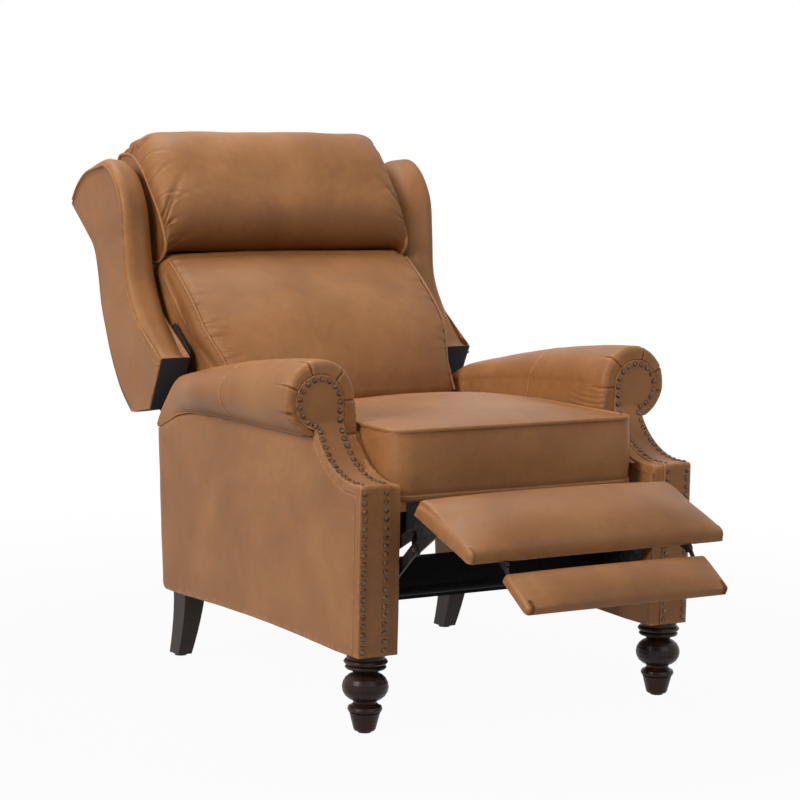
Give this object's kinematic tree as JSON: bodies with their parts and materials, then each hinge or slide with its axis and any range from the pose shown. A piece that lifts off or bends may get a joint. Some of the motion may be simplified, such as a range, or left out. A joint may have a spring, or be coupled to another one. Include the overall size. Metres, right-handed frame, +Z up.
{
  "type": "wingback recliner",
  "caption": "Leather wingback recliner with rolled arms, nail-trimmed facings, turned front legs, a sliding reclining back and a fold-out footrest with a flipper.",
  "frame": {"origin": "on the floor, under the middle of the chair's outline with the footrest out", "axes": "+Z up, -Y the way the chair faces, +X the sitter's left"},
  "size_m": [0.848, 1.4797, 1.0399],
  "materials": {
    "caramel_leather": "satin",
    "nail_bronze": "satin",
    "espresso_wood": "gloss",
    "glide_plastic": "matte",
    "black_steel": "satin",
    "dark_steel": "satin",
    "bright_steel": "satin",
    "black_cloth": "matte",
    "frame_wood": "matte"
  },
  "bodies": {
    "base": {"left_arm_box": "frame_wood", "right_arm_box": "frame_wood", "left_side_panel": "caramel_leather", "right_side_panel": "caramel_leather", "left_arm_cover": "caramel_leather", "right_arm_cover": "caramel_leather", "left_facing": "caramel_leather", "right_facing": "caramel_leather", "left_inner_boxing": "caramel_leather", "right_inner_boxing": "caramel_leather", "left_nails": "nail_bronze", "right_nails": "nail_bronze", "left_front_leg": "espresso_wood", "right_front_leg": "espresso_wood", "left_rear_leg": "espresso_wood", "right_rear_leg": "espresso_wood", "leg_glides": "glide_plastic", "leg_studs": "bright_steel", "front_rail": "black_steel", "rear_rail": "black_steel", "cross_tube": "black_steel", "left_mech_plate": "dark_steel", "right_mech_plate": "dark_steel", "plate_bolts": "bright_steel", "slide_pins": "bright_steel", "link_rivets": "bright_steel"},
    "seat": {"seat_side_rails": "frame_wood", "seat_front_rail": "frame_wood", "seat_rear_rail": "frame_wood", "seat_springs": "bright_steel", "seat_cushion": "caramel_leather", "seat_apron": "black_cloth", "left_runner": "dark_steel", "right_runner": "dark_steel", "runner_spacers": "bright_steel", "recline_pins": "bright_steel"},
    "back": {"left_back_post": "frame_wood", "right_back_post": "frame_wood", "back_top_rail": "frame_wood", "back_bottom_rail": "frame_wood", "back_webbing": "black_cloth", "outside_back": "caramel_leather", "left_wing": "caramel_leather", "right_wing": "caramel_leather", "back_cushion": "caramel_leather", "head_pillow": "caramel_leather", "back_brackets": "dark_steel", "side_cambric": "black_cloth"},
    "long_links": {"long_links": "dark_steel", "link_tube": "black_steel"},
    "short_links": {"short_links": "dark_steel"},
    "footrest": {"footrest_board": "frame_wood", "footrest_pad": "caramel_leather", "footrest_brackets": "dark_steel", "bracket_rivets": "bright_steel", "flipper_arms": "dark_steel"},
    "flipper": {"flipper_board": "frame_wood", "flipper_pad": "caramel_leather", "flipper_brackets": "dark_steel"}
  },
  "joints": [
    {"name": "footrest", "type": "hinge", "parent": "base", "child": "long_links", "pos_m": [0, -0.32917, 0.218], "axis": [-1, 0, 0], "range_deg": [0, 50.38]},
    {"name": "short_link", "type": "hinge", "parent": "base", "child": "short_links", "pos_m": [0, -0.37217, 0.316], "axis": [-1, 0, 0], "range_deg": [-0.5, 77.5]},
    {"name": "footrest_turn", "type": "hinge", "parent": "long_links", "child": "footrest", "pos_m": [0, -0.46275, 0.33506], "axis": [-1, 0, 0], "range_deg": [-122, 0.5]},
    {"name": "flipper_fold", "type": "hinge", "parent": "footrest", "child": "flipper", "pos_m": [0, -0.64107, 0.33077], "axis": [-1, 0, 0], "range_deg": [-167, 0.5]},
    {"name": "back_recline", "type": "hinge", "parent": "seat", "child": "back", "pos_m": [0, 0.20883, 0.39], "axis": [-1, 0, 0], "range_deg": [-17, 12]},
    {"name": "seat_glide", "type": "slide", "parent": "base", "child": "seat", "axis": [0, -1, 0], "range_m": [-0.0171, 0.0121]}
  ],
  "couplings": [
    {"joint": "short_link", "follows": "footrest", "ratio": 1.5263},
    {"joint": "footrest_turn", "follows": "footrest", "ratio": -2.4091},
    {"joint": "flipper_fold", "follows": "footrest", "ratio": -3.2944},
    {"joint": "seat_glide", "follows": "back_recline", "m_per_rad": 0.0573}
  ]
}
